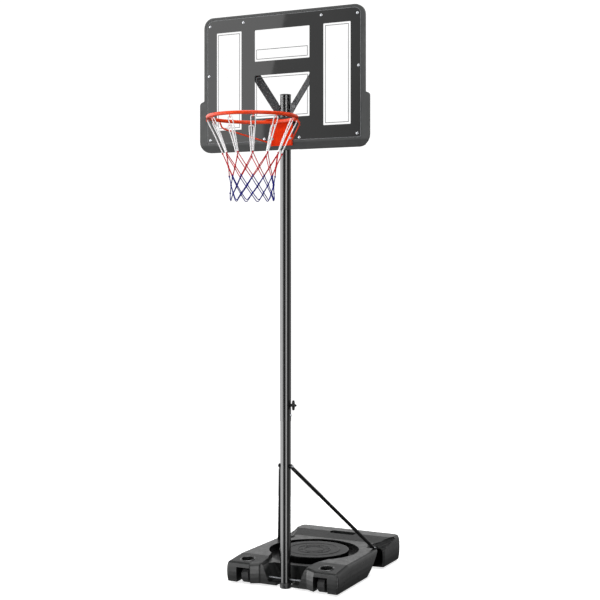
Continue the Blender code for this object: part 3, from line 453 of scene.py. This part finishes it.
def layer(bm, loops, front, back):
    """Adds a closed flat layer between two Y planes, from an outline and its holes in (x, z)."""
    flat = [Vector((point.x, point.y, 0)) for loop in loops for point in loop]
    triangles = tessellate_polygon([[Vector((point.x, point.y, 0)) for point in loop] for loop in loops])
    near = [bm.verts.new((point.x, front, point.y)) for point in flat]
    far = [bm.verts.new((point.x, back, point.y)) for point in flat]
    for first, second, third in triangles:
        bm.faces.new((near[first], near[second], near[third]))
        bm.faces.new((far[third], far[second], far[first]))
    start = 0
    for loop in loops:
        count = len(loop)
        for index in range(count):
            here = start + index
            after = start + (index + 1) % count
            bm.faces.new((near[here], near[after], far[after], far[here]))
        start += count


def smooth_path(points, spacing):
    """Points along a smooth curve through the given ones, about one spacing apart."""
    padded = [points[0] * 2 - points[1]] + list(points) + [points[-1] * 2 - points[-2]]
    path = []
    for index in range(1, len(padded) - 2):
        before, start, end, after = padded[index - 1:index + 3]
        count = max(1, round((end - start).length / spacing))
        for step in range(count):
            t = step / count
            bend = 2 * before - 5 * start + 4 * end - after
            twist = 3 * start - before - 3 * end + after
            path.append(0.5 * ((2 * start) + (end - before) * t + bend * t * t + twist * t ** 3))
    path.append(padded[-2].copy())
    return path


def sweep(bm, path, radius, sides=9, lobes=3, depth=0.11, pitch=0.016):
    """A twisted cord along a path: its section has lobes that wind round it."""
    ahead = (path[1] - path[0]).normalized()
    side = ahead.orthogonal().normalized()
    travelled = 0.0
    before = None
    first = None
    for index, point in enumerate(path):
        if index:
            travelled += (point - path[index - 1]).length
        onward = path[min(index + 1, len(path) - 1)] - path[max(index - 1, 0)]
        ahead = onward.normalized()
        side = (side - ahead * side.dot(ahead)).normalized()
        other = ahead.cross(side)
        ring = []
        for k in range(sides):
            angle = 2 * math.pi * k / sides
            bulge = 1 + depth * math.cos(lobes * angle - 2 * math.pi * travelled / pitch)
            reach = radius * bulge
            ring.append(bm.verts.new(point + side * math.cos(angle) * reach
                                     + other * math.sin(angle) * reach))
        if before:
            for k in range(sides):
                after = (k + 1) % sides
                bm.faces.new((before[k], before[after], ring[after], ring[k]))
        else:
            first = ring
        before = ring
    bm.faces.new(first)
    bm.faces.new(before)


def lump(bm, centre, out, radius, height):
    """A tied knot: a squat ball with the cord's turns round it."""
    rows = 8
    sides = 12
    across = Vector((0, 0, 1)).cross(out).normalized()
    up = out.cross(across).normalized()
    rings = []
    for row in range(1, rows):
        tilt = math.pi * row / rows
        ring = []
        for k in range(sides):
            turn = 2 * math.pi * k / sides
            bulge = 1 + 0.13 * math.cos(3 * turn + 6 * tilt)
            reach = radius * math.sin(tilt) * bulge
            ring.append(bm.verts.new(centre + across * math.cos(turn) * reach + out * math.sin(turn) * reach
                                     + up * math.cos(tilt) * height))
        rings.append(ring)
    for low, high in zip(rings, rings[1:]):
        for k in range(sides):
            after = (k + 1) % sides
            bm.faces.new((low[k], low[after], high[after], high[k]))
    bm.faces.new(rings[0])
    bm.faces.new(rings[-1])


# ---------------------------------------------------------------- board print

def bolt_holes(names):
    """A round hole in the print at each bolt."""
    holes = []
    for name in names:
        low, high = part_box(name)
        holes.append(circle((low.x + high.x) / 2, (low.z + high.z) / 2, BOLT_HOLE_R))
    return holes


def sheet_outline(left, right, bottom, top, inset):
    """The sheet's outline, with small round corners below and large ones above."""
    low, high = 0.011 - inset, 0.039 - inset
    return rounded([(left, bottom, low), (right, bottom, low), (right, top, high), (left, top, high)])


def make_print(finish):
    """Printed layers on the clear sheet: black between the windows, a grey strip round the sheet's edge
    and a thin line inside each window."""
    front = SHEET_LOW.y - PRINT_GAP - PRINT_THICK
    back = SHEET_LOW.y - PRINT_GAP
    edge = 0.0015
    left, right = SHEET_LOW.x + edge, SHEET_HIGH.x - edge
    bottom, top = SHEET_LOW.z + edge, SHEET_HIGH.z - edge
    outline = [sheet_outline(left + inset, right - inset, bottom + inset, top - inset, inset)
               for inset in (0.0, STRIP, STRIP + 0.0002)]
    windows = [SIDE_WINDOW, OTHER_SIDE_WINDOW, TOP_WINDOW, LOW_WINDOW]

    black = bmesh.new()
    holes = [rectangle(window) for window in windows]
    layer(black, [outline[2]] + holes + bolt_holes(PANEL_BOLTS + RIM_BOLTS), front, back)
    finish_piece(new_object("board_print_black", black, False), finish["print_black"], "lift")

    strip = bmesh.new()
    layer(strip, outline[:2], front, back)
    finish_piece(new_object("board_print_edge", strip, False), finish["print_edge"], "lift")

    lines = bmesh.new()
    top_part = (TOP_WINDOW[0], TOP_WINDOW[1], TOP_WINDOW[2], TOP_WINDOW[2] + 0.078)
    for window in [SIDE_WINDOW, OTHER_SIDE_WINDOW, top_part, LOW_WINDOW]:
        layer(lines, [rectangle(window, BORDER + 0.0002), rectangle(window, BORDER + LINE)], front, back)
    finish_piece(new_object("board_print_line", lines, False), finish["print_line"], "lift")


# ---------------------------------------------------------------- net and hooks

def on_net(turn, radius, height, aside=0.0):
    """A point round the net: turn in radians from the front, and a step aside along the circle."""
    out = Vector((math.sin(turn), -math.cos(turn), 0))
    along = Vector((math.cos(turn), math.sin(turn), 0))
    centre = Vector((RING_CENTRE.x, RING_CENTRE.y, height))
    return centre + out * radius + along * aside


def knot_places():
    """Each row's knots, a little uneven, as a real net hangs."""
    rows = []
    for row, (radius, height) in enumerate(KNOT_ROWS):
        places = []
        for k in range(LOOPS):
            turn = (k + 0.5 * (row % 2)) * STEP
            wander = random.uniform(-0.0015, 0.0015)
            places.append(on_net(turn, radius + random.uniform(-0.001, 0.001), height + wander,
                                 random.uniform(-0.0012, 0.0012)))
        rows.append(places)
    return rows


def outward(point):
    """Level direction from the net's middle to a point."""
    return Vector((point.x - RING_CENTRE.x, point.y - RING_CENTRE.y, 0)).normalized()


def make_net(finish):
    """Twisted cords: white loops from the hooks, then red and blue meshes with a knot at each crossing."""
    rows = knot_places()
    white, red, blue = bmesh.new(), bmesh.new(), bmesh.new()
    for k in range(LOOPS):
        turn = k * STEP
        knot_r, knot_z = KNOT_ROWS[0]
        route = [on_net(turn, knot_r, knot_z + 0.004, -KNOT_HALF),
                 on_net(turn, LOOP_MIDDLE_R, LOOP_MIDDLE_Z, -LOOP_MIDDLE_HALF),
                 on_net(turn, RING_R - 0.002, HOOK_Z - 0.010, -LOOP_HALF),
                 on_net(turn, RING_R, HOOK_Z - 0.001, -LOOP_HALF + 0.0035),
                 on_net(turn, RING_R, HOOK_Z + 0.0005, 0.0),
                 on_net(turn, RING_R, HOOK_Z - 0.001, LOOP_HALF - 0.0035),
                 on_net(turn, RING_R - 0.002, HOOK_Z - 0.010, LOOP_HALF),
                 on_net(turn, LOOP_MIDDLE_R, LOOP_MIDDLE_Z, LOOP_MIDDLE_HALF),
                 on_net(turn, knot_r, knot_z + 0.004, KNOT_HALF)]
        sweep(white, smooth_path(route, CORD_STEP), TOP_CORD_R)
    for row in range(len(rows) - 1):
        target = red if row < 2 else blue
        for k in range(LOOPS):
            start = rows[row][k]
            shift = 0 if row % 2 == 0 else 1
            for end in (rows[row + 1][(k + shift) % LOOPS], rows[row + 1][(k + shift - 1) % LOOPS]):
                middle = (start + end) / 2 + Vector((0, 0, -0.0008)) - outward(start) * 0.0004
                sweep(target, smooth_path([start, middle, end], CORD_STEP), CORD_R)
    for row, places in enumerate(rows):
        target = red if row < 2 else blue
        for place in places:
            lump(target, place, outward(place), 0.0050, 0.0062)
    last = rows[-1]
    for k in range(LOOPS):
        turn = (k + 0.5) * STEP
        start, end = last[k], last[(k + 1) % LOOPS]
        foot = on_net(turn, NET_FOOT_R, NET_FOOT_Z)
        route = [start, on_net(turn, NET_FOOT_R, NET_FOOT_Z + 0.011, -NET_FOOT_HALF),
                 on_net(turn, NET_FOOT_R, NET_FOOT_Z + 0.002, -0.0055), foot,
                 on_net(turn, NET_FOOT_R, NET_FOOT_Z + 0.002, 0.0055),
                 on_net(turn, NET_FOOT_R, NET_FOOT_Z + 0.011, NET_FOOT_HALF), end]
        sweep(blue, smooth_path(route, CORD_STEP), CORD_R)
    for name, bm, material in (("net_top", white, "cord_white"), ("net_middle", red, "cord_red"),
                               ("net_foot", blue, "cord_blue")):
        piece = finish_piece(new_object(name, bm), finish[material], "lift")
        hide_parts("net")


def make_hooks(finish):
    """A bent wire under the ring at each loop of the net."""
    bm = bmesh.new()
    for k in range(LOOPS):
        turn = k * STEP
        under = RING_CENTRE.z - RING_TUBE_R
        route = [on_net(turn, RING_R + 0.0020, under + 0.003),
                 on_net(turn, RING_R + 0.0060, under - 0.003),
                 on_net(turn, RING_R + 0.0066, HOOK_Z - 0.001),
                 on_net(turn, RING_R + 0.0035, HOOK_Z - 0.0060),
                 on_net(turn, RING_R - 0.0015, HOOK_Z - 0.0066),
                 on_net(turn, RING_R - 0.0058, HOOK_Z - 0.003),
                 on_net(turn, RING_R - 0.0070, HOOK_Z + 0.003)]
        sweep(bm, smooth_path(route, 0.0015), 0.0019, 8, 1, 0.0)
    finish_piece(new_object("net_hooks", bm), finish["orange_paint"], "lift")


# ---------------------------------------------------------------- base details

def turned_ring(bm, centre, profile, sides=72, slope=0.0):
    """Adds a closed ring from a closed section of (radius, height); slope is its rise along Y."""
    rings = []
    for k in range(sides):
        angle = 2 * math.pi * k / sides
        rings.append([bm.verts.new((centre.x + radius * math.cos(angle), centre.y + radius * math.sin(angle),
                                    centre.z + height + slope * radius * math.sin(angle)))
                      for radius, height in profile])
    count = len(profile)
    for index in range(sides):
        here, after = rings[index], rings[(index + 1) % sides]
        for k in range(count):
            nxt = (k + 1) % count
            bm.faces.new((here[k], here[nxt], after[nxt], after[k]))


def rib(bm, turn, inner, outer):
    """Adds a straight radial rib on the disc, with sloping sides."""
    out = Vector((math.cos(turn), math.sin(turn), 0))
    across = Vector((-out.y, out.x, 0))
    section = [(-0.0042, -0.0006), (0.0042, -0.0006), (0.0026, 0.0022), (-0.0026, 0.0022)]
    ends = []
    for reach in (inner, outer):
        ends.append([bm.verts.new(DISC_CENTRE + out * reach + across * aside + Vector((0, 0, height)))
                     for aside, height in section])
    for k in range(4):
        nxt = (k + 1) % 4
        bm.faces.new((ends[0][k], ends[0][nxt], ends[1][nxt], ends[1][k]))
    bm.faces.new(ends[0])
    bm.faces.new(ends[1])


def make_disc(finish):
    """Plain concentric ribs on the tank's disc, and six radial ones between the inner two."""
    bm = bmesh.new()
    for radius, width, height in ((0.150, 0.0045, 0.0022), (0.098, 0.0040, 0.0022), (0.060, 0.0035, 0.0022)):
        profile = [(radius - width, -0.0006), (radius + width, -0.0006), (radius + width * 0.7, height * 0.8),
                   (radius + width * 0.3, height), (radius - width * 0.3, height),
                   (radius - width * 0.7, height * 0.8)]
        turned_ring(bm, DISC_CENTRE, profile)
    for k in range(6):
        rib(bm, 2 * math.pi * (k + 0.5) / 6, 0.066, 0.092)
    finish_piece(new_object("disc_ribs", bm), finish["base_plastic"], "base")


def make_cup_lips(finish):
    """A raised lip round each cup in the tank's front corners."""
    bm = bmesh.new()
    for side in (-1, 1):
        centre = Vector((side * CUP_X, CUP_Y, CUP_LIP_Z))
        profile = [(0.0365, -0.0010), (0.0445, -0.0010), (0.0435, 0.0014), (0.0410, 0.0026),
                   (0.0385, 0.0026), (0.0365, 0.0012)]
        turned_ring(bm, centre, profile, 48, CUP_LIP_SLOPE)
    finish_piece(new_object("cup_lips", bm), finish["lip_plastic"], "base")


def make_flank_rails(finish):
    """Low rails on the sloping corners of the wing, which run back and end at the wing's side."""
    bm = bmesh.new()
    for side in (-1, 1):
        for share in RAIL_SHARES:
            path = []
            for step in range(15):
                back = 0.15 + 0.83 * step / 14
                inner = FLANK_INNER_X + FLANK_INNER_GROWTH * back
                low = FLANK_LOW_Z + FLANK_LOW_GROWTH * back
                x = inner + (FLANK_OUTER_X - inner) * share
                if x > WING_SIDE_X:
                    break
                path.append(Vector((side * x, FLANK_Y + FLANK_LENGTH * back,
                                    FLANK_TOP_Z + 0.0005 + (low - FLANK_TOP_Z) * share)))
            if len(path) > 2:
                sweep(bm, path, RAIL_R, 8, 1, 0.0)
    finish_piece(new_object("flank_rails", bm), finish["base_plastic"], "base")


# ---------------------------------------------------------------- CAD nodes

PAINTED = {
    "base_plastic": ["base_tank"],
    "frame_plastic": ["board_frame"],
    "clear_sheet": ["board_panel"],
    "black_paint": ["lower_pole", "middle_pole", "top_pole", "pole_bracket"],
    "strut_paint": ["strut_left", "strut_right"],
    "axle_zinc": ["axle", "strut_foot_screw_left", "strut_foot_screw_right"],
    "arm_paint": ["arm_left", "arm_right"],
    "orange_paint": ["rim_ring", "rim_brace_left", "rim_brace_right"],
    "plate_paint": ["rim_bracket"],
    "cap_plastic": ["pole_cap", "pole_foot", "fill_cap", "axle_retainer_left", "axle_retainer_right"],
    "knob_plastic": ["clamp_knob", "clamp_nut"],
    "wheel_plastic": ["wheel_left", "wheel_right"],
}
NOT_MIRRORED = ["rim_ring", "rim_brace_left", "rim_brace_right", "net_top", "net_middle", "net_foot",
                "net_hooks"]
ROUNDED_EDGES = {"base_tank": 0.0028, "board_frame": 0.0024, "rim_bracket": 0.0006, "clamp_knob": 0.0008,
                 "pole_bracket": 0.0006, "fill_cap": 0.0008}


def paint_nodes(finish):
    """Gives every CAD node its finish; small hardware is zinc."""
    by_node = {node: slot for slot, nodes in PAINTED.items() for node in nodes}
    for name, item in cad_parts.items():
        item.data.materials.clear()
        item.data.materials.append(finish[by_node.get(name, "zinc")])


def round_edges():
    """A small round on the moulded and pressed parts' sharp edges."""
    for name, width in ROUNDED_EDGES.items():
        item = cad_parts[name]
        bevel = item.modifiers.new("round", "BEVEL")
        bevel.width = width
        bevel.segments = 3
        bevel.limit_method = "ANGLE"
        bevel.angle_limit = math.radians(32)
        bevel.harden_normals = False


def hide_from_mirrors(names):
    """Keeps thin things out of the board's reflections."""
    for name in names:
        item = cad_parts.get(name) or bpy.data.objects[name]
        item.visible_glossy = False


# ---------------------------------------------------------------- the scene


make_camera()
bpy.context.scene.view_settings.view_transform = "Standard"
make_room()
make_floor()
FINISH = make_materials()
paint_nodes(FINISH)
round_edges()
make_print(FINISH)
make_net(FINISH)
make_hooks(FINISH)
make_disc(FINISH)
make_cup_lips(FINISH)
make_flank_rails(FINISH)
hide_from_mirrors(NOT_MIRRORED)
